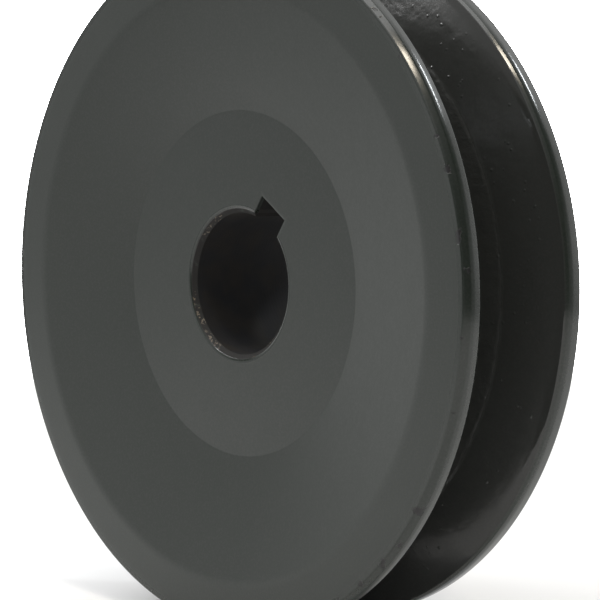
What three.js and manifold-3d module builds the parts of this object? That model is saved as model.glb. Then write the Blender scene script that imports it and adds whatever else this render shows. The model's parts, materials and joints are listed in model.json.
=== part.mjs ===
// A single-groove V-belt pulley (sheave) with a finished bore, as a three.js scene graph.
//
// One grey-iron casting carries the rim with its belt groove, the dished web and the hub. Two hex
// socket set screws sit in threaded holes in the hub's rear collar: one over the keyway, one a
// quarter turn from it.
//
// Units are millimetres. The shaft axis is Y, the front face looks along -Y, +Z is up, and the
// origin is on the shaft axis in the middle plane of the belt groove.

import * as THREE from 'three';
import { mergeVertices } from 'three/addons/utils/BufferGeometryUtils.js';
import Module from 'manifold-3d';

const wasm = await Module();
wasm.setup();

const INCH = 25.4;

// ---- Driving dimensions -------------------------------------------------------------------------

const outerDiameter = 4.25 * INCH;
const rimWidth = 15 / 16 * INCH;
const boreDiameter = 7 / 8 * INCH;

const keyway = {
  width: INCH / 4,
  wallHeight: 3.9,            // height of the side walls above the bore
  clockwiseFromTop: 35,       // degrees, seen from the front
};

const groove = {
  tipThickness: 3.2,          // thickness of each flange at the outer diameter
  depth: 14.5,
  includedAngle: 34,          // degrees between the two flanks
  bottomRound: 1.2,
  lipRound: 0.7,              // round between a flank and the outer diameter
};

const rim = {
  frontCornerRound: 1.0,      // round between the front face and the outer diameter
  rearCornerRound: 0.5,       // the same at the rear
  flatInnerRadius: 46.4,      // where the front's flat ring ends and its dish begins
  dishRound: 7.0,             // soft round between the flat ring and the dish
};

const hub = {
  frontDiscRadius: 27.0,      // flat disc in the middle of the dish
  frontDiscRecess: 4.8,       // its depth below the rim's flat ring
  discRound: 1.0,
  collarRadius: 1.0 * INCH,   // collar behind the web, which holds the set screws
  collarDraft: 0.5,           // how much wider the collar is at the web
  overhang: INCH / 2,         // how far the collar stands out behind the rim
  collarChamfer: 1.0,
  boreChamfer: 0.85,
};

const rearPocket = {
  mouthRadius: 43.5,          // where the rear's flat ring ends
  shoulderRadius: 36.6,       // foot of the sloping mouth
  shoulderDepth: 3.2,         // depth of that foot below the rear face
  floorRadius: 34.8,          // foot of the wall below the groove
  floorDepth: 12.8,           // depth of the web's rear face below the rim's rear face
  wallRound: 3.0,
};

const setScrew = {
  majorRadius: 5 / 32 * INCH, // 5/16 in screw
  length: 3 / 8 * INCH,
  socketAcrossFlats: 5 / 32 * INCH,
  socketDepth: 4.2,
  headChamfer: 0.6,
  pointChamfer: 1.3,
  cupRadius: 1.5,
  cupDepth: 0.9,
  tipGap: 0.6,                // gap at rest between its point and the bore or the keyway floor
};

const holeClearance = 0.3;    // all-round gap between a set screw and its hole
const holeCountersink = 0.7;

const turnSegments = 72;
const screwSegments = 24;

// ---- Worked-out dimensions ----------------------------------------------------------------------

const outerRadius = outerDiameter / 2;
const boreRadius = boreDiameter / 2;
const frontY = -rimWidth / 2;
const rearY = rimWidth / 2;
const hubEndY = rearY + hub.overhang;
const frontDiscY = frontY + hub.frontDiscRecess;

const flankSlope = Math.tan(THREE.MathUtils.degToRad(groove.includedAngle / 2));
const lipHalfWidth = rimWidth / 2 - groove.tipThickness;
const bottomHalfWidth = lipHalfWidth - groove.depth * flankSlope;
const grooveBottomRadius = outerRadius - groove.depth;

const keywaySideHeight = Math.sqrt(boreRadius ** 2 - (keyway.width / 2) ** 2);
const keywayFloorRadius = keywaySideHeight + keyway.wallHeight;

const holeRadius = setScrew.majorRadius + holeClearance;
const screwY = (rearY + hubEndY) / 2;

// ---- Finishes -----------------------------------------------------------------------------------

const finishes = {
  paint: { color: 0x4b4e4c, roughness: 0.45, metalness: 0.0 },
  blackOxide: { color: 0x1d1d1f, roughness: 0.5, metalness: 0.8 },
};

function finish(name) {
  return new THREE.MeshStandardMaterial({ name, ...finishes[name] });
}

// ---- Outlines -----------------------------------------------------------------------------------

// A corner of an outline: radius from the axis, place along it, and an optional round.
function corner(radius, y, round = 0, steps = 3) {
  return { at: new THREE.Vector2(radius, y), round, steps };
}

// The points of the arc that rounds off one corner between its two neighbours.
function roundedCorner(before, here, after) {
  const back = before.at.clone().sub(here.at).normalize();
  const forward = after.at.clone().sub(here.at).normalize();
  const halfAngle = Math.acos(THREE.MathUtils.clamp(back.dot(forward), -1, 1)) / 2;
  const tangentLength = here.round / Math.tan(halfAngle);
  const centreDistance = here.round / Math.sin(halfAngle);
  const centre = back.clone().add(forward).normalize().multiplyScalar(centreDistance).add(here.at);
  const start = back.multiplyScalar(tangentLength).add(here.at).sub(centre);
  const end = forward.multiplyScalar(tangentLength).add(here.at).sub(centre);
  const sweep = Math.atan2(start.cross(end), start.dot(end));
  const origin = new THREE.Vector2();
  const points = [];
  for (let step = 0; step <= here.steps; step += 1) {
    const turned = start.clone().rotateAround(origin, sweep * step / here.steps);
    points.push(turned.add(centre));
  }
  return points;
}

// A closed ring of points from a closed ring of corners, ending on its first point.
function closedOutline(corners) {
  const count = corners.length;
  const points = corners.flatMap((here, index) => {
    if (here.round === 0) return [here.at.clone()];
    const before = corners[(index + count - 1) % count];
    const after = corners[(index + 1) % count];
    return roundedCorner(before, here, after);
  });
  points.push(points[0].clone());
  return points;
}

// ---- Solids -------------------------------------------------------------------------------------

// A closed three.js geometry as a manifold solid.
function toSolid(geometry) {
  geometry.deleteAttribute('normal');
  geometry.deleteAttribute('uv');
  const merged = mergeVertices(geometry, 1e-4);
  const mesh = new wasm.Mesh({
    numProp: 3,
    vertProperties: new Float32Array(merged.attributes.position.array),
    triVerts: new Uint32Array(merged.index.array),
  });
  return new wasm.Manifold(mesh);
}

// A manifold solid as a three.js geometry.
function toGeometry(solid) {
  const mesh = solid.getMesh();
  const geometry = new THREE.BufferGeometry();
  geometry.setAttribute('position', new THREE.BufferAttribute(mesh.vertProperties, 3));
  geometry.setIndex(new THREE.BufferAttribute(mesh.triVerts, 1));
  geometry.computeVertexNormals();
  return geometry;
}

function turned(outline, segments) {
  return new THREE.LatheGeometry(outline, segments);
}

// A direction square to the shaft, by its clockwise angle from the top, seen from the front.
function directionAt(clockwiseFromTop) {
  const angle = THREE.MathUtils.degToRad(clockwiseFromTop);
  return new THREE.Vector3(Math.sin(angle), 0, Math.cos(angle));
}

// ---- The casting --------------------------------------------------------------------------------

function frontCorners() {
  return [
    corner(boreRadius, frontDiscY + hub.boreChamfer),
    corner(boreRadius + hub.boreChamfer, frontDiscY),
    corner(hub.frontDiscRadius, frontDiscY, hub.discRound, 2),
    corner(rim.flatInnerRadius, frontY, rim.dishRound, 3),
    corner(outerRadius, frontY, rim.frontCornerRound, 4),
  ];
}

function grooveCorners() {
  return [
    corner(outerRadius, -lipHalfWidth, groove.lipRound, 2),
    corner(grooveBottomRadius, -bottomHalfWidth, groove.bottomRound, 3),
    corner(grooveBottomRadius, bottomHalfWidth, groove.bottomRound, 3),
    corner(outerRadius, lipHalfWidth, groove.lipRound, 2),
  ];
}

function rearCorners() {
  const pocketFloorY = rearY - rearPocket.floorDepth;
  return [
    corner(outerRadius, rearY, rim.rearCornerRound, 3),
    corner(rearPocket.mouthRadius, rearY, rearPocket.wallRound, 2),
    corner(rearPocket.shoulderRadius, rearY - rearPocket.shoulderDepth, rearPocket.wallRound, 3),
    corner(rearPocket.floorRadius, pocketFloorY, rearPocket.wallRound, 3),
    corner(hub.collarRadius + hub.collarDraft, pocketFloorY, rearPocket.wallRound, 3),
    corner(hub.collarRadius, hubEndY - hub.collarChamfer),
    corner(hub.collarRadius - hub.collarChamfer, hubEndY),
    corner(boreRadius + hub.boreChamfer, hubEndY),
    corner(boreRadius, hubEndY - hub.boreChamfer),
  ];
}

function keywayCutter() {
  const length = hubEndY - frontY + 2;
  const bar = new THREE.BoxGeometry(keyway.width, length, keywayFloorRadius);
  bar.translate(0, (frontY + hubEndY) / 2, keywayFloorRadius / 2);
  bar.rotateY(THREE.MathUtils.degToRad(keyway.clockwiseFromTop));
  return toSolid(bar);
}

// The cutter for one set screw's hole, with a countersink where it meets the collar's skin.
function screwHoleCutter(clockwiseFromTop) {
  const skin = hub.collarRadius;
  const wideRadius = holeRadius + holeCountersink;
  const outline = [
    new THREE.Vector2(0, boreRadius / 2),
    new THREE.Vector2(holeRadius, boreRadius / 2),
    new THREE.Vector2(holeRadius, skin - 2 * holeCountersink),
    new THREE.Vector2(wideRadius, skin - holeCountersink),
    new THREE.Vector2(wideRadius, skin + holeCountersink),
    new THREE.Vector2(0, skin + holeCountersink),
  ];
  const drill = turned(outline, screwSegments);
  pointOutward(drill, clockwiseFromTop);
  return toSolid(drill);
}

// Turns a geometry made along +Y so that it points out of the collar, and moves it to the screws.
function pointOutward(geometry, clockwiseFromTop) {
  const turn = new THREE.Quaternion();
  turn.setFromUnitVectors(new THREE.Vector3(0, 1, 0), directionAt(clockwiseFromTop));
  geometry.applyQuaternion(turn);
  geometry.translate(0, screwY, 0);
}

function makeCasting() {
  const outline = closedOutline([...frontCorners(), ...grooveCorners(), ...rearCorners()]);
  let solid = toSolid(turned(outline, turnSegments));
  solid = solid.subtract(keywayCutter());
  for (const screw of setScrews) {
    solid = solid.subtract(screwHoleCutter(screw.clockwiseFromTop));
  }
  const mesh = new THREE.Mesh(toGeometry(solid), finish('paint'));
  mesh.name = 'pulley_casting';
  return mesh;
}

// ---- The set screws -----------------------------------------------------------------------------

const setScrews = [
  { name: 'set_screw_over_key', clockwiseFromTop: keyway.clockwiseFromTop, seat: keywayFloorRadius },
  { name: 'set_screw_quarter_turn', clockwiseFromTop: keyway.clockwiseFromTop + 90, seat: boreRadius },
];

// One set screw along +Y, its cup point at the bottom, standing on the plane y = 0.
function screwSolid() {
  const { majorRadius, length, headChamfer, pointChamfer, cupRadius, cupDepth } = setScrew;
  const body = toSolid(turned([
    new THREE.Vector2(0, cupDepth),
    new THREE.Vector2(cupRadius, 0),
    new THREE.Vector2(majorRadius - pointChamfer, 0),
    new THREE.Vector2(majorRadius, pointChamfer),
    new THREE.Vector2(majorRadius, length - headChamfer),
    new THREE.Vector2(majorRadius - headChamfer, length),
    new THREE.Vector2(0, length),
  ], screwSegments));
  const socketRadius = setScrew.socketAcrossFlats / Math.sqrt(3);
  const socket = new THREE.CylinderGeometry(socketRadius, socketRadius, 2 * setScrew.socketDepth, 6);
  socket.translate(0, length, 0);
  return body.subtract(toSolid(socket));
}

function makeSetScrew({ name, clockwiseFromTop, seat }) {
  const geometry = toGeometry(screwSolid());
  geometry.translate(0, seat + setScrew.tipGap, 0);
  pointOutward(geometry, clockwiseFromTop);
  const mesh = new THREE.Mesh(geometry, finish('blackOxide'));
  mesh.name = name;
  return mesh;
}

// ---- Assembly -----------------------------------------------------------------------------------

const pulley = new THREE.Group();
pulley.name = 'v_belt_pulley';
pulley.add(makeCasting());
for (const screw of setScrews) {
  pulley.add(makeSetScrew(screw));
}

export default pulley;
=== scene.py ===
"""A dark grey V-belt pulley standing on its rims on a pale floor.

Everything is in metres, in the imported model's frame: the shaft axis is Y, the dished front looks
along -Y, and +Z is up. The casting and the set screws are built here as fine meshes that stand for
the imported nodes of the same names.
"""

import json
import math

import bmesh
import bpy
from mathutils import Matrix, Quaternion, Vector


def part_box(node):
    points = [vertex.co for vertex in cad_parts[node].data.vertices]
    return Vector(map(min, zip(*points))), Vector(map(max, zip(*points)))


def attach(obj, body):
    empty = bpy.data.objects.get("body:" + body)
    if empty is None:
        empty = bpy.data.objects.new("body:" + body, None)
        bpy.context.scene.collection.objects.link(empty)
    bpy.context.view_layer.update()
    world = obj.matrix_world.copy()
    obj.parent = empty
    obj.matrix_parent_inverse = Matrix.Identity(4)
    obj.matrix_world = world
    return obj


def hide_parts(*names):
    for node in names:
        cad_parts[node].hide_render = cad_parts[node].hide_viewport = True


MM = 0.001
INCH = 0.0254

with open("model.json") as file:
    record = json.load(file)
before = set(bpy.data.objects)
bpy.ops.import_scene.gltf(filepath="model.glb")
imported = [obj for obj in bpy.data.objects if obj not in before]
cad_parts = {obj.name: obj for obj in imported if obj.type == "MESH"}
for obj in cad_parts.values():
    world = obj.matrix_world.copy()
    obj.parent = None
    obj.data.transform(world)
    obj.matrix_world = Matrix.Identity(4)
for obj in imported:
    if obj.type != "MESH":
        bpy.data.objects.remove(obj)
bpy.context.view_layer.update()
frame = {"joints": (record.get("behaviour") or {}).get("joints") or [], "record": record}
record = frame["record"]

# ---- Dimensions: the outside comes from the frame, the rest are the casting's own sizes ---------

CASTING_LOW, CASTING_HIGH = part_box("pulley_casting")
OUTER_RADIUS = CASTING_HIGH.x
FRONT_Y = CASTING_LOW.y
REAR_Y = -FRONT_Y
HUB_END_Y = CASTING_HIGH.y
FLOOR_Z = CASTING_LOW.z

BORE_RADIUS = 7 / 16 * INCH
BORE_CHAMFER = 0.85 * MM
KEYWAY_HALF_WIDTH = INCH / 8
KEYWAY_WALL_HEIGHT = 3.9 * MM
KEYWAY_EDGE_ROUND = 0.3 * MM
BORE_LIMIT = 15.0 * MM            # the bore and its keyway lie inside this radius
MOUTH_DEPTH = BORE_CHAMFER + 1.0 * MM     # how deep the mouth's fine rings start, from the face
MOUTH_REACH = BORE_CHAMFER + 0.8 * MM     # how far out from the bore's wall they run
MOUTH_INNER_ROUND = 0.25 * MM
MOUTH_OUTER_ROUND = 1.0 * MM
MOUTH_STRIP = 0.06 * MM           # the widest strip between two of those rings

FLANGE_TIP = 3.2 * MM
TIP_CROWN = 0.12 * MM             # how far each flange's outer land falls away towards its sides
GROOVE_DEPTH = 14.5 * MM
GROOVE_FLANK_ANGLE = math.radians(17)
GROOVE_BOTTOM_ROUND = 1.2 * MM
CROWN_ROUND = 3.0 * MM
FRONT_CROWN = 1.68 * MM           # from the front face to the highest ring of its flange
REAR_CROWN = 2.13 * MM            # the same at the rear
LIP_BREAK = (0.33 * MM, 0.4 * MM)     # a lip's blunt edge: how far in, how far along the land
LIP_ROUND = 0.3 * MM
RIM_BREAK = (0.6 * MM, 1.0 * MM)      # the front rim's blunt edge: how far in, how far back
RIM_BREAK_DROP = 0.04 * MM        # how far that edge ends below the crown
RIM_BREAK_ROUNDS = (0.4 * MM, 0.8 * MM)
REAR_RIM_DROP = 0.22 * MM         # the crown's fall at the rear rim
REAR_RIM_ROUND = 0.5 * MM

FLAT_RING_INNER = 46.4 * MM
DISH_ROUND = 7.0 * MM
DISC_RADIUS = 27.0 * MM
DISC_RECESS = 4.8 * MM
DISC_ROUND = 1.0 * MM
DISC_Y = FRONT_Y + DISC_RECESS
KEYED_REACH = 17.0 * MM           # rings from this radius outward are plain circles

COLLAR_RADIUS = INCH
COLLAR_DRAFT = 0.5 * MM
COLLAR_CHAMFER = 1.0 * MM

POCKET_MOUTH = 43.5 * MM
POCKET_SHOULDER = 36.6 * MM
POCKET_SHOULDER_DEPTH = 3.2 * MM
POCKET_FLOOR = 34.8 * MM
POCKET_DEPTH = 12.8 * MM
POCKET_ROUND = 3.0 * MM
UNDER_GROOVE = 37.0 * MM          # a radius in the rim's metal, between the pocket and the groove

SCREW_RADIUS = 5 / 32 * INCH
SCREW_PITCH = INCH / 18
SCREW_LENGTH = 3 / 8 * INCH
SCREW_Y = (REAR_Y + HUB_END_Y) / 2
SCREW_THREAD_DEPTH = 0.55 * MM
HOLE_RADIUS = SCREW_RADIUS + 0.3 * MM
HOLE_THREAD_DEPTH = 0.24 * MM
HOLE_SINK = 0.5 * MM              # how deep the countersink at a hole's mouth is

# ---- Mesh helpers -------------------------------------------------------------------------------


def rounded(before, here, after, radius, steps):
    """The arc that rounds off the corner at here, as (radius from the shaft axis, y) points."""
    before, here, after = Vector(before), Vector(here), Vector(after)
    back = (before - here).normalized()
    forward = (after - here).normalized()
    half = back.angle(forward) / 2
    centre = here + (back + forward).normalized() * radius / math.sin(half)
    start = here + back * radius / math.tan(half) - centre
    end = here + forward * radius / math.tan(half) - centre
    sweep = math.atan2(start.x * end.y - start.y * end.x, start.dot(end))
    points = []
    for step in range(steps + 1):
        turn = Matrix.Rotation(sweep * step / steps, 2)
        points.append(tuple(centre + turn @ start))
    return points


def outline(corners):
    """An open outline from corners (radius, y, round, steps): its two ends stay as they are."""
    points = [corners[0][:2]]
    for before, here, after in zip(corners, corners[1:], corners[2:]):
        if here[2] == 0:
            points.append(here[:2])
        else:
            points += rounded(before[:2], here[:2], after[:2], here[2], here[3])
    points.append(corners[-1][:2])
    return points


def subdivided(points, longest):
    """The same outline with its straight stretches cut into pieces no longer than longest."""
    fine = [points[0]]
    for (r0, y0), (r1, y1) in zip(points, points[1:]):
        count = max(1, math.ceil(math.hypot(r1 - r0, y1 - y0) / longest))
        for step in range(1, count + 1):
            share = step / count
            fine.append((r0 + (r1 - r0) * share, y0 + (y1 - y0) * share))
    return fine


def new_object(name, build):
    """A new object whose mesh build(bm) makes."""
    mesh = bpy.data.meshes.new(name)
    bm = bmesh.new()
    build(bm)
    bmesh.ops.recalc_face_normals(bm, faces=bm.faces)
    bm.to_mesh(mesh)
    bm.free()
    made = bpy.data.objects.new(name, mesh)
    bpy.context.scene.collection.objects.link(made)
    return made


def skin_rings(bm, rings, closed):
    """Quads between neighbouring rings of equally many points; closed joins the last to the first."""
    made = [[bm.verts.new(point) for point in ring] for ring in rings]
    pairs = list(zip(made, made[1:]))
    if closed:
        pairs.append((made[-1], made[0]))
    for one, other in pairs:
        for index in range(len(one)):
            after = (index + 1) % len(one)
            bm.faces.new((one[index], one[after], other[after], other[index]))
    return made


def smooth(piece, sharp_degrees):
    """Smooth shading, with edges sharper than an angle left crisp."""
    bm = bmesh.new()
    bm.from_mesh(piece.data)
    for face in bm.faces:
        face.smooth = True
    for edge in bm.edges:
        if len(edge.link_faces) == 2:
            edge.smooth = edge.calc_face_angle() < math.radians(sharp_degrees)
    bm.to_mesh(piece.data)
    bm.free()


def cut(piece, cutter):
    """Subtracts a cutter from a piece and throws the cutter away."""
    modifier = piece.modifiers.new("cut", "BOOLEAN")
    modifier.operation = "DIFFERENCE"
    modifier.solver = "EXACT"
    modifier.object = cutter
    graph = bpy.context.evaluated_depsgraph_get()
    mesh = bpy.data.meshes.new_from_object(piece.evaluated_get(graph))
    piece.modifiers.remove(modifier)
    piece.data = mesh
    bpy.data.objects.remove(cutter)


# ---- Set screw directions, from the frame's joints ----------------------------------------------


def screw_directions():
    """Each set screw's outward direction and resting point, by its node's name."""
    bodies = record["behaviour"]["bodies"]
    found = {}
    for joint in frame["joints"]:
        node = bodies[joint["child"]][0]
        low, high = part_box(node)
        outward = -Vector(joint["axis"]).normalized()
        found[node] = (outward, (low + high) / 2)
    return found


SCREWS = screw_directions()
KEYWAY_ANGLE = math.atan2(SCREWS["set_screw_over_key"][0].x, SCREWS["set_screw_over_key"][0].z)

# ---- The casting --------------------------------------------------------------------------------

# Points of the bore's round part, of each keyway wall and of the keyway's floor.
BORE_POINTS = 300
WALL_POINTS = 5
FLOOR_POINTS = 16
WIDEST_STRIP = 2.0 * MM           # between two rings of the rest of the casting


def keyed_ring(bore_grow, key_grow):
    """The bore and keyway contour, each grown outward, as (x, z) points clockwise from the keyway."""
    radius = BORE_RADIUS + bore_grow
    half = KEYWAY_HALF_WIDTH + key_grow
    top = math.sqrt(BORE_RADIUS**2 - KEYWAY_HALF_WIDTH**2) + KEYWAY_WALL_HEIGHT + key_grow
    side = math.sqrt(radius**2 - half**2)
    points = []
    for step in range(FLOOR_POINTS):
        points.append((-half + 2 * half * step / FLOOR_POINTS, top))
    for step in range(WALL_POINTS):
        points.append((half, top + (side - top) * step / WALL_POINTS))
    start = math.asin(half / radius)
    for step in range(BORE_POINTS):
        angle = start + (2 * math.pi - 2 * start) * step / BORE_POINTS
        points.append((radius * math.sin(angle), radius * math.cos(angle)))
    for step in range(WALL_POINTS):
        points.append((-half, side + (top - side) * step / WALL_POINTS))
    cosine, sine = math.cos(KEYWAY_ANGLE), math.sin(KEYWAY_ANGLE)
    return [(x * cosine + z * sine, z * cosine - x * sine) for x, z in points]


def bore_mouth(y_face, inward):
    """Keyed rings from the bore wall over its chamfer to the face at y_face.

    The metal lies from the face towards +Y where inward is 1, and towards -Y where it is -1.
    """
    chamfer = outline([
        (0, MOUTH_DEPTH, 0, 0),
        (0, BORE_CHAMFER, MOUTH_INNER_ROUND, 4),
        (BORE_CHAMFER, 0, MOUTH_OUTER_ROUND, 10),
        (MOUTH_REACH, 0, 0, 0),
    ])
    rings = []
    for grow, depth in subdivided(chamfer, MOUTH_STRIP):
        left = max(0.0, 1 - depth / KEYWAY_EDGE_ROUND)
        key_grow = KEYWAY_EDGE_ROUND * (1 - math.sqrt(1 - left**2)) + max(0.0, grow - BORE_CHAMFER)
        rings.append([(x, y_face + inward * depth, z) for x, z in keyed_ring(grow, key_grow)])
    return rings


def casting_outline():
    """The casting's outline from the front disc round the rim to the collar's end."""
    lip_half = -FRONT_Y - FLANGE_TIP
    bottom_half = lip_half - GROOVE_DEPTH * math.tan(GROOVE_FLANK_ANGLE)
    bottom = OUTER_RADIUS - GROOVE_DEPTH
    pocket_y = REAR_Y - POCKET_DEPTH
    lip_radius = OUTER_RADIUS - TIP_CROWN
    lip_in, lip_along = LIP_BREAK
    flank_y = lip_half - lip_in * math.tan(GROOVE_FLANK_ANGLE)
    rim_in, rim_back = RIM_BREAK
    corners = [
        (KEYED_REACH, DISC_Y, 0, 0),
        (DISC_RADIUS, DISC_Y, DISC_ROUND, 6),
        (FLAT_RING_INNER, FRONT_Y, DISH_ROUND, 10),
        (OUTER_RADIUS - rim_in, FRONT_Y, RIM_BREAK_ROUNDS[0], 6),
        (OUTER_RADIUS - RIM_BREAK_DROP, FRONT_Y + rim_back, RIM_BREAK_ROUNDS[1], 6),
        (OUTER_RADIUS, FRONT_Y + FRONT_CROWN, CROWN_ROUND, 6),
        (lip_radius, -lip_half - lip_along, LIP_ROUND, 5),
        (lip_radius - lip_in, -flank_y, LIP_ROUND, 5),
        (bottom, -bottom_half, GROOVE_BOTTOM_ROUND, 8),
        (bottom, bottom_half, GROOVE_BOTTOM_ROUND, 8),
        (lip_radius - lip_in, flank_y, LIP_ROUND, 5),
        (lip_radius, lip_half + lip_along, LIP_ROUND, 5),
        (OUTER_RADIUS, REAR_Y - REAR_CROWN, CROWN_ROUND, 6),
        (OUTER_RADIUS - REAR_RIM_DROP, REAR_Y, REAR_RIM_ROUND, 8),
        (POCKET_MOUTH, REAR_Y, POCKET_ROUND, 8),
        (POCKET_SHOULDER, REAR_Y - POCKET_SHOULDER_DEPTH, POCKET_ROUND, 8),
        (POCKET_FLOOR, pocket_y, POCKET_ROUND, 8),
        (COLLAR_RADIUS + COLLAR_DRAFT, pocket_y, POCKET_ROUND, 8),
        (COLLAR_RADIUS, HUB_END_Y, COLLAR_CHAMFER, 6),
        (KEYED_REACH, HUB_END_Y, 0, 0),
    ]
    return subdivided(outline(corners), WIDEST_STRIP)


def build_casting(bm):
    """The whole turned casting, bored and keyed, as one closed skin of rings."""
    last_ring = keyed_ring(MOUTH_REACH, MOUTH_REACH - BORE_CHAMFER)
    directions = [Vector(point).normalized() for point in last_ring]
    rings = bore_mouth(DISC_Y, 1)
    for radius, y in casting_outline():
        rings.append([(d.x * radius, y, d.y * radius) for d in directions])
    rings += reversed(bore_mouth(HUB_END_Y, -1))
    skin_rings(bm, rings, closed=True)


# ---- Threads ------------------------------------------------------------------------------------

THREAD_SIDES = 48
THREAD_STEPS = 8                  # rings in one pitch
THREAD_STEEPNESS = 1.3            # above 1, the wave is cut off flat at its crests and roots
THREAD_FLAT = 0.15                # lowers the wave, so that crests and roots are equally flat


def thread_radius(turn, height, outer, depth):
    """A thread's radius at a place: a triangle wave with flattened crests and roots."""
    phase = (height / SCREW_PITCH - turn) % 1
    wave = min(1, max(0, THREAD_STEEPNESS * (1 - abs(2 * phase - 1)) - THREAD_FLAT))
    return outer - depth * wave


def threaded_rings(length, outer, depth, fade):
    """Rings of a threaded rod along +Z from z = 0; fade(z) is the largest radius allowed there."""
    rings = []
    count = round(length / SCREW_PITCH * THREAD_STEPS)
    for level in range(count + 1):
        z = length * level / count
        ring = []
        for side in range(THREAD_SIDES):
            turn = side / THREAD_SIDES
            angle = 2 * math.pi * turn
            radius = min(thread_radius(turn, z, outer, depth), fade(z))
            ring.append((radius * math.cos(angle), radius * math.sin(angle), z))
        rings.append(ring)
    return rings


def along(direction, start):
    """The placement that turns +Z to a direction and moves the origin to start."""
    turn = Vector((0, 0, 1)).rotation_difference(direction)
    return Matrix.Translation(start) @ turn.to_matrix().to_4x4()


def cap(bm, ring, reverse=False):
    """One face over a ring of points."""
    bm.faces.new(reversed(ring) if reverse else ring)


def hole_cutter(name, direction):
    """A tapped hole with a countersunk mouth, from inside the bore to outside the collar."""
    inner = BORE_RADIUS * 0.6
    past_collar = 2.0 * MM
    length = COLLAR_RADIUS - inner + past_collar
    mouth = COLLAR_RADIUS - inner - HOLE_SINK

    def fade(z):
        return HOLE_RADIUS + max(0.0, z - mouth)

    def build(bm):
        rings = threaded_rings(length, HOLE_RADIUS, HOLE_THREAD_DEPTH, fade)
        for ring in rings:
            for index, (x, y, z) in enumerate(ring):
                if z > mouth:
                    turn = math.atan2(y, x)
                    radius = max(math.hypot(x, y), fade(z))
                    ring[index] = (radius * math.cos(turn), radius * math.sin(turn), z)
        made = skin_rings(bm, rings, closed=False)
        cap(bm, made[0], reverse=True)
        cap(bm, made[-1])
        bm.transform(along(direction, Vector((0, SCREW_Y, 0)) + direction * inner))

    return new_object(name, build)


def make_casting():
    """The casting with the tapped holes for its set screws."""
    casting = new_object("casting", build_casting)
    for node, (direction, _) in SCREWS.items():
        cut(casting, hole_cutter("cutter_" + node, direction))
    smooth(casting, 32)
    return casting


# ---- The set screws -----------------------------------------------------------------------------


def make_set_screw(node, direction, middle):
    """A hex socket cup-point set screw, threaded all along."""
    socket_radius = 5 / 64 * INCH / math.cos(math.pi / 6)
    socket_depth = 4.0 * MM
    socket_lead = 0.35 * MM          # the cone at the socket's mouth: how much wider it starts
    lead_depth = 0.3 * MM
    drill_radius = socket_radius * 0.75
    drill_cone = 1.2 * MM            # how much deeper the drill's cone goes than the socket
    chamfer = 0.7 * MM
    point = 1.2 * MM
    cup = 1.9 * MM
    cup_edge = 0.2 * MM
    cup_rise = 0.15 * MM
    cup_depth = 0.9 * MM
    cone_end = 0.1 * MM              # the small flat at the middle of a cone
    crest_clearance = 0.05 * MM

    def fade(z):
        return min(
            SCREW_RADIUS - crest_clearance,
            SCREW_RADIUS - point + z,
            SCREW_RADIUS - chamfer + (SCREW_LENGTH - z),
        )

    def circle(radius, z):
        angles = [2 * math.pi * side / THREAD_SIDES for side in range(THREAD_SIDES)]
        return [(radius * math.cos(a), radius * math.sin(a), z) for a in angles]

    def hexagon(radius, z):
        ring = []
        for side in range(THREAD_SIDES):
            turn = 2 * math.pi * side / THREAD_SIDES
            local = (turn + math.pi / 6) % (math.pi / 3) - math.pi / 6
            reach = radius * math.cos(math.pi / 6) / math.cos(local)
            ring.append((reach * math.cos(turn), reach * math.sin(turn), z))
        return ring

    def build(bm):
        rings = [circle(cone_end, cup_depth), circle(cup, cup_rise), circle(cup + cup_edge, 0.0)]
        rings += threaded_rings(SCREW_LENGTH, SCREW_RADIUS, SCREW_THREAD_DEPTH, fade)
        rings += [
            circle(socket_radius + socket_lead, SCREW_LENGTH),
            hexagon(socket_radius, SCREW_LENGTH - lead_depth),
            hexagon(socket_radius, SCREW_LENGTH - socket_depth),
            circle(drill_radius, SCREW_LENGTH - socket_depth),
            circle(cone_end, SCREW_LENGTH - socket_depth - drill_cone),
        ]
        made = skin_rings(bm, rings, closed=False)
        cap(bm, made[0], reverse=True)
        cap(bm, made[-1])
        bm.transform(along(direction, middle - direction * SCREW_LENGTH / 2))

    screw = new_object("screw_" + node, build)
    smooth(screw, 40)
    return screw


# ---- Materials ----------------------------------------------------------------------------------

TURNING_SCALE = 468.75            # of the wave texture, for rings about 0.67 mm apart


def feed(tree, socket, value):
    """Links a socket to another node's output, or sets it to a constant."""
    if isinstance(value, bpy.types.NodeSocket):
        tree.links.new(value, socket)
    else:
        socket.default_value = value


def maths(tree, operation, *values):
    """The output of a new maths node."""
    node = tree.nodes.new("ShaderNodeMath")
    node.operation = operation
    for socket, value in zip(node.inputs, values):
        feed(tree, socket, value)
    return node.outputs[0]


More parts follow.
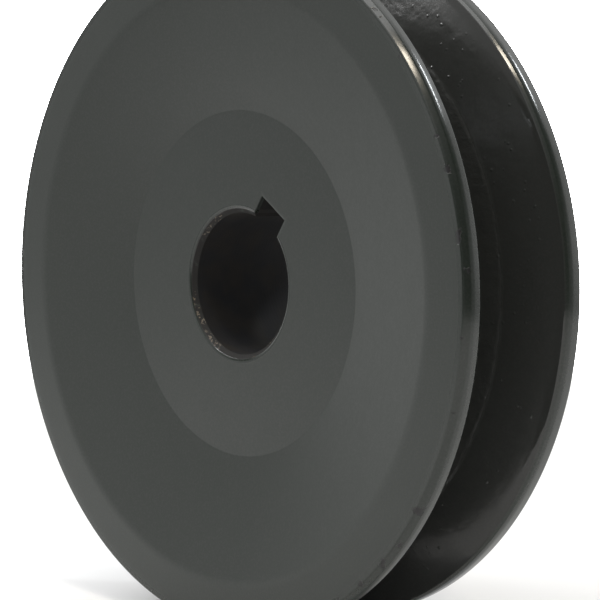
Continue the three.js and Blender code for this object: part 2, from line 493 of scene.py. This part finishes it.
class Graph:
    """A node material, with short calls for the nodes used below."""

    def __init__(self, name):
        self.material = bpy.data.materials.new(name)
        self.material.use_nodes = True
        self.tree = self.material.node_tree
        self.shader = self.tree.nodes["Principled BSDF"]
        self.place = self.tree.nodes.new("ShaderNodeTexCoord").outputs["Object"]

    def feed(self, socket, value):
        feed(self.tree, socket, value)

    def maths(self, operation, *values):
        return maths(self.tree, operation, *values)

    def product(self, *factors):
        """All the factors multiplied together."""
        so_far = factors[0]
        for factor in factors[1:]:
            so_far = self.maths("MULTIPLY", so_far, factor)
        return so_far

    def rest(self, share):
        """What a share leaves of 1."""
        return self.maths("SUBTRACT", 1.0, share)

    def step(self, value, low, high):
        """A smooth step from 0 at low to 1 at high; low may be the larger."""
        node = self.tree.nodes.new("ShaderNodeMapRange")
        node.interpolation_type = "SMOOTHSTEP"
        self.feed(node.inputs["Value"], value)
        self.feed(node.inputs["From Min"], low)
        self.feed(node.inputs["From Max"], high)
        return node.outputs[0]

    def band(self, value, low, high, edge):
        """1 between low and high and 0 outside, with soft edges."""
        rise = self.step(value, low - edge, low + edge)
        return self.product(rise, self.step(value, high + edge, high - edge))

    def ranged(self, value, low, high):
        """Maps 0..1 to low..high."""
        return self.maths("MULTIPLY_ADD", value, high - low, low)

    def noise(self, size, detail=2.0):
        """Noise from 0 to 1 with features about size across."""
        node = self.tree.nodes.new("ShaderNodeTexNoise")
        self.feed(node.inputs["Vector"], self.place)
        node.inputs["Scale"].default_value = 1 / size
        node.inputs["Detail"].default_value = detail
        return node.outputs["Fac"]

    def dots(self, spacing, radius):
        """Small scattered dots: 1 at their middles, 0 outside."""
        node = self.tree.nodes.new("ShaderNodeTexVoronoi")
        self.feed(node.inputs["Vector"], self.place)
        node.inputs["Scale"].default_value = 1 / spacing
        return self.step(node.outputs["Distance"], radius / spacing, 0.0)

    def blend(self, share, one, other):
        """A colour that goes from one to the other."""
        node = self.tree.nodes.new("ShaderNodeMix")
        node.data_type = "RGBA"
        self.feed(node.inputs[0], share)
        self.feed(node.inputs[6], one)
        self.feed(node.inputs[7], other)
        return node.outputs[2]

    def reach(self):
        """The distance from the object's origin."""
        node = self.tree.nodes.new("ShaderNodeVectorMath")
        node.operation = "LENGTH"
        self.feed(node.inputs[0], self.place)
        return node.outputs["Value"]

    def bump(self, height, depth, under=None):
        """A surface raised by height (0 to 1) times depth, on top of another bump."""
        node = self.tree.nodes.new("ShaderNodeBump")
        node.inputs["Distance"].default_value = depth
        self.feed(node.inputs["Height"], height)
        if under is not None:
            self.feed(node.inputs["Normal"], under)
        return node.outputs[0]

    def axial(self):
        """The place as (distance from the shaft axis, y)."""
        parts = self.tree.nodes.new("ShaderNodeSeparateXYZ")
        self.feed(parts.inputs[0], self.place)
        x, y, z = parts.outputs
        squares = self.maths("ADD", self.product(x, x), self.product(z, z))
        return self.maths("SQRT", squares), y

    def turning(self):
        """The fine wavy rings round the shaft axis that a turning tool leaves."""
        node = self.tree.nodes.new("ShaderNodeTexWave")
        node.bands_direction = "Y"
        node.inputs["Scale"].default_value = TURNING_SCALE
        node.inputs["Distortion"].default_value = 0.6
        node.inputs["Detail"].default_value = 2
        self.feed(node.inputs["Vector"], self.place)
        return node.outputs["Fac"]


def paint_zones(graph):
    """Masks from 0 to 1 for the zones of the casting, by name."""
    radius, y = graph.axial()
    in_hub = graph.step(radius, BORE_LIMIT + 0.5 * MM, BORE_LIMIT)
    past_mouth = graph.band(y, DISC_Y + BORE_CHAMFER, HUB_END_Y - BORE_CHAMFER, 0.06 * MM)
    bore = graph.product(in_hub, past_mouth)
    mouth_radius = BORE_RADIUS + BORE_CHAMFER
    in_mouth = graph.step(radius, mouth_radius - 0.08 * MM, mouth_radius - 0.2 * MM)

    between_lips = graph.band(y, FRONT_Y + FLANGE_TIP, REAR_Y - FLANGE_TIP, 0.2 * MM)
    above_pocket = graph.step(radius, UNDER_GROOVE - 1 * MM, UNDER_GROOVE + 1 * MM)
    groove = graph.product(between_lips, above_pocket)
    below_lips = graph.step(radius, OUTER_RADIUS - 1.5 * MM, OUTER_RADIUS - 4 * MM)
    behind_web = graph.step(y, -3 * MM, -2 * MM)
    in_pocket = graph.step(radius, POCKET_MOUTH + 1 * MM, POCKET_MOUTH)
    past_bore = graph.step(radius, BORE_LIMIT + 1 * MM, BORE_LIMIT + 2 * MM)
    front_corner = graph.product(
        graph.step(radius, OUTER_RADIUS - 1.6 * MM, OUTER_RADIUS - 0.7 * MM),
        graph.step(y, FRONT_Y + 1.4 * MM, FRONT_Y + 0.5 * MM),
    )
    return {
        "bore": bore,
        "mouth": graph.product(in_mouth, graph.rest(bore)),
        "mouth edge": graph.band(radius, mouth_radius - 0.2 * MM, mouth_radius + 0.4 * MM, 0.05 * MM),
        "groove": groove,
        "flank": graph.product(groove, below_lips),
        "rear": graph.product(behind_web, in_pocket, past_bore),
        "rim": graph.step(radius, OUTER_RADIUS - 2.0 * MM, OUTER_RADIUS - 1.0 * MM),
        "front corner": front_corner,
    }


def paint_material():
    """Semi-gloss dark grey enamel on cast iron, glossier in the groove, with a bare bore."""
    graph = Graph("dark_grey_enamel")
    zones = paint_zones(graph)
    grain = graph.noise(0.35 * MM, 2.0)
    nicks = graph.product(
        zones["front corner"],
        graph.step(graph.noise(2.2 * MM, 4.0), 0.62, 0.66),
    )
    # Chips in the paint at the bore's mouth: real wear, whose light warm colour is a painted glint of
    # bare metal.
    chips_and_painted_glints = graph.product(
        zones["mouth"],
        graph.step(graph.noise(4 * MM), 0.5, 0.58),
        graph.step(graph.noise(0.5 * MM, 3.0), 0.56, 0.60),
    )
    graph.feed(graph.shader.inputs["Base Color"], paint_colour(graph, zones, grain, nicks, chips_and_painted_glints))

    roughness = graph.ranged(graph.noise(3.0 * MM, 4.0), 0.30, 0.42)
    shifts = [
        (zones["groove"], -0.15),
        (zones["rear"], 0.12),
        (nicks, 0.2),
        (zones["bore"], 0.4),
        (zones["rim"], -0.18),
        (zones["mouth edge"], -0.27),
        (zones["mouth"], 0.35),
        (chips_and_painted_glints, -0.4),
    ]
    for mask, shift in shifts:
        roughness = graph.maths("ADD", roughness, graph.product(mask, shift))
    graph.feed(graph.shader.inputs["Roughness"], roughness)
    graph.shader.inputs["Specular IOR Level"].default_value = 0.5

    graph.feed(graph.shader.inputs["Normal"], paint_relief(graph, zones, grain, nicks))
    return graph.material


def paint_colour(graph, zones, grain, nicks, chips_and_painted_glints):
    """Clouded, finely speckled paint that is darker in nicks and gives way to iron in the bore; the
    chips' light warm colour is a painted glint, and the bore's near-black iron is partly painted
    shade.
    """
    colour = graph.blend(
        graph.noise(14 * MM, 3.0),
        (0.0185, 0.0238, 0.0195, 1),
        (0.0215, 0.0270, 0.0225, 1),
    )
    speckle = graph.product(graph.step(grain, 0.4, 0.7), 0.5)
    bare_mouth = graph.product(zones["mouth"], graph.step(graph.noise(1.1 * MM, 4.0), 0.3, 0.45))
    # Rust-mottled iron for the bore, coloured near black: partly the iron's own dark tone, partly
    # painted shade deep in the bore.
    iron = graph.blend(
        graph.step(graph.noise(5 * MM, 5.0), 0.4, 0.65),
        (0.003, 0.003, 0.0045, 1),
        (0.010, 0.0075, 0.005, 1),
    )
    coats = [
        (speckle, (0.034, 0.037, 0.034, 1)),
        (graph.product(zones["groove"], 0.5), (0.038, 0.036, 0.036, 1)),
        (nicks, (0.012, 0.011, 0.012, 1)),
        (bare_mouth, (0.006, 0.005, 0.004, 1)),
        # the chips' light warm colour is a painted glint of bare metal
        (chips_and_painted_glints, (0.13, 0.105, 0.075, 1)),
        # the bore's near-black iron colour is partly painted shade
        (zones["bore"], iron),
    ]
    for share, coat in coats:
        colour = graph.blend(share, colour, coat)
    return colour


def paint_relief(graph, zones, grain, nicks):
    """The paint's fine relief, as one chain of bumps."""
    peel = graph.product(graph.noise(1.3 * MM, 1.0), graph.ranged(zones["rim"], 1.0, 0.4))
    fine_grain = graph.product(grain, graph.ranged(zones["rim"], 1.0, 0.3))
    nibs = graph.product(graph.dots(1.4 * MM, 0.32 * MM), graph.step(graph.noise(7 * MM), 0.47, 0.57))
    casting_skin = graph.noise(1.8 * MM, 5.0)
    runs = graph.noise(2.4 * MM, 2.0)
    reliefs = [
        (peel, 0.012 * MM),
        (fine_grain, 0.004 * MM),
        (graph.product(casting_skin, zones["rear"]), 0.25 * MM),
        (graph.product(runs, zones["flank"]), 0.07 * MM),
        (graph.product(nibs, zones["flank"]), 0.07 * MM),
        (graph.product(graph.turning(), zones["bore"]), 0.004 * MM),
        (graph.rest(nicks), 0.05 * MM),
    ]
    normal = None
    for height, depth in reliefs:
        normal = graph.bump(height, depth, normal)
    return normal


def black_oxide_material():
    """Black-oxide steel with faint mottling and rubbed patches."""
    graph = Graph("black_oxide")
    cloud = graph.noise(1.6 * MM, 4.0)
    grain = graph.noise(0.15 * MM, 3.0)
    colour = graph.blend(cloud, (0.022, 0.023, 0.026, 1), (0.045, 0.043, 0.044, 1))
    graph.feed(graph.shader.inputs["Base Color"], colour)
    graph.feed(graph.shader.inputs["Roughness"], graph.ranged(graph.noise(0.8 * MM, 4.0), 0.28, 0.5))
    graph.shader.inputs["Metallic"].default_value = 0.85
    graph.feed(graph.shader.inputs["Normal"], graph.bump(grain, 0.004 * MM))
    return graph.material


# ---- Setting ------------------------------------------------------------------------------------


WHITE = (1, 1, 1)
WARM_WHITE = (1.0, 0.9, 0.74)
COOL_WHITE = (0.93, 0.97, 1.0)

FLOOR_GAP = 0.02 * MM             # between the rims and the floor
FLOOR_SHADE = 0.87
FLOOR_REACH = 9 * OUTER_RADIUS
FLOOR_FADE = 6.5 * OUTER_RADIUS   # from here out, the floor fades into the white background

CAMERA_AZIMUTH = 48.6
CAMERA_ELEVATION = 3.8
CAMERA_DISTANCE = 5.794 * OUTER_RADIUS
AIM_RIGHT = 0.247 * OUTER_RADIUS  # from the front face's centre to the middle of the picture
AIM_DOWN = 0.043 * OUTER_RADIUS
FOCAL_LENGTH = 121.38             # mm, for a sensor of SENSOR_WIDTH
SENSOR_WIDTH = 36

LIGHT_REACH = 0.9
BACKDROP_STRENGTH = 10.0

# Broad soft light from all round: azimuth, elevation, focus, strength. A higher focus is narrower.
# Nine strengths are results of a least-squares fit of trial renders to the photo, shortened or a
# little lowered. The rows at -75, -47, 50, -36 and -170 degrees were changed or added.
GLOWS = [
    (-125, 5, 30, 0.6),
    (-100, 5, 30, 4.1),
    (-75, 5, 30, 0.85),
    (-47, 2, 60, 0.97),
    (-25, 5, 30, 1.0),
    (50, 5, 30, 0.3),
    (125, 5, 30, 0.3),
    (150, 5, 30, 0.5),
    (180, 10, 10, 1.7),
    (-36, 30, 30, 0.4),
    (-30, 50, 12, 0.9),
    (15, 50, 12, 1.3),
    (60, 50, 12, 0.4),
    (-170, 55, 12, 1.0),
]


def facing(azimuth, elevation):
    """The direction towards a place seen at an azimuth and elevation, in degrees."""
    a, e = math.radians(azimuth), math.radians(elevation)
    return Vector((math.sin(a) * math.cos(e), -math.cos(a) * math.cos(e), math.sin(e)))


def make_floor():
    """A pale square under the rims, which fades out towards its sides."""

    def build(bm):
        square = [(-1, -1), (1, -1), (1, 1), (-1, 1)]
        height = FLOOR_Z - FLOOR_GAP
        bm.faces.new([bm.verts.new((x * FLOOR_REACH, y * FLOOR_REACH, height)) for x, y in square])

    floor = new_object("floor", build)
    graph = Graph("pale_floor")
    graph.shader.inputs["Base Color"].default_value = (FLOOR_SHADE, FLOOR_SHADE, FLOOR_SHADE, 1)
    graph.shader.inputs["Roughness"].default_value = 0.6
    graph.feed(graph.shader.inputs["Alpha"], graph.step(graph.reach(), FLOOR_REACH, FLOOR_FADE))
    floor.data.materials.append(graph.material)


def make_camera():
    """The camera, placed by its direction from the middle of the picture."""
    azimuth = math.radians(CAMERA_AZIMUTH)
    right = Vector((math.cos(azimuth), math.sin(azimuth), 0))
    back = facing(CAMERA_AZIMUTH, CAMERA_ELEVATION)
    down = right.cross(back)
    data = bpy.data.cameras.new("camera")
    data.sensor_width = SENSOR_WIDTH
    data.lens = FOCAL_LENGTH
    data.clip_start = 0.01
    data.clip_end = 50
    camera = bpy.data.objects.new("camera", data)
    aim = Vector((0, FRONT_Y, 0)) + AIM_RIGHT * right + AIM_DOWN * down
    camera.location = aim + back * CAMERA_DISTANCE
    camera.rotation_mode = "QUATERNION"
    camera.rotation_quaternion = (-back).to_track_quat("-Z", "Y")
    bpy.context.scene.collection.objects.link(camera)
    bpy.context.scene.camera = camera


def make_light(name, azimuth, elevation, size, power, colour=WHITE, roll=0):
    """A soft panel facing the pulley, in a direction given like a camera's, rolled by degrees."""
    data = bpy.data.lights.new(name, "AREA")
    data.shape = "RECTANGLE"
    data.size, data.size_y = size
    data.energy = power
    data.color = colour
    panel = bpy.data.objects.new(name, data)
    back = facing(azimuth, elevation)
    turned = Quaternion((0, 0, 1), math.radians(roll))
    panel.location = back * LIGHT_REACH
    panel.rotation_mode = "QUATERNION"
    panel.rotation_quaternion = (-back).to_track_quat("-Z", "Y") @ turned
    panel.visible_camera = False
    bpy.context.scene.collection.objects.link(panel)


def make_lights():
    """Softboxes over and behind the pulley, and small panels for the glints on its edges."""
    make_light("overhead", 0, 88, (0.5, 0.5), 2.5)
    make_light("back_left", -120, 40, (0.5, 0.5), 3.2)
    make_light("key_left", -58, 42, (0.16, 0.16), 1.6)
    make_light("small_key", -34, 37, (0.08, 0.1), 0.42)
    make_light("warm_panel", 68, 64, (0.12, 0.12), 1.7, WARM_WHITE)
    make_light("cool_panel", 161, 40.5, (0.19, 0.035), 1.2, COOL_WHITE, 29)


def make_world():
    """Soft light graded round the room; the camera sees a plain white background."""
    world = bpy.data.worlds.new("studio")
    bpy.context.scene.world = world
    world.use_nodes = True
    tree = world.node_tree
    direction = tree.nodes.new("ShaderNodeTexCoord").outputs["Generated"]

    light = 0.0
    for azimuth, elevation, focus, strength in GLOWS:
        dot = tree.nodes.new("ShaderNodeVectorMath")
        dot.operation = "DOT_PRODUCT"
        tree.links.new(direction, dot.inputs[0])
        dot.inputs[1].default_value = facing(azimuth, elevation)
        glow = maths(tree, "POWER", maths(tree, "MAXIMUM", dot.outputs["Value"], 0.0), focus)
        light = maths(tree, "ADD", light, maths(tree, "MULTIPLY", glow, strength))
    seen = tree.nodes.new("ShaderNodeLightPath").outputs["Is Camera Ray"]
    light = maths(tree, "MAXIMUM", light, maths(tree, "MULTIPLY", seen, BACKDROP_STRENGTH))
    background = tree.nodes["Background"]
    background.inputs["Color"].default_value = (*WHITE, 1)
    tree.links.new(light, background.inputs["Strength"])
    bpy.context.scene.view_settings.view_transform = "Standard"


make_camera()
paint = paint_material()
oxide = black_oxide_material()

casting = make_casting()
casting.data.materials.append(paint)
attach(casting, "pulley")
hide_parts("pulley_casting")

for body, nodes in record["behaviour"]["bodies"].items():
    for node in nodes:
        if node in SCREWS:
            screw = make_set_screw(node, *SCREWS[node])
            screw.data.materials.append(oxide)
            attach(screw, body)
            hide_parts(node)

make_floor()
make_world()
make_lights()
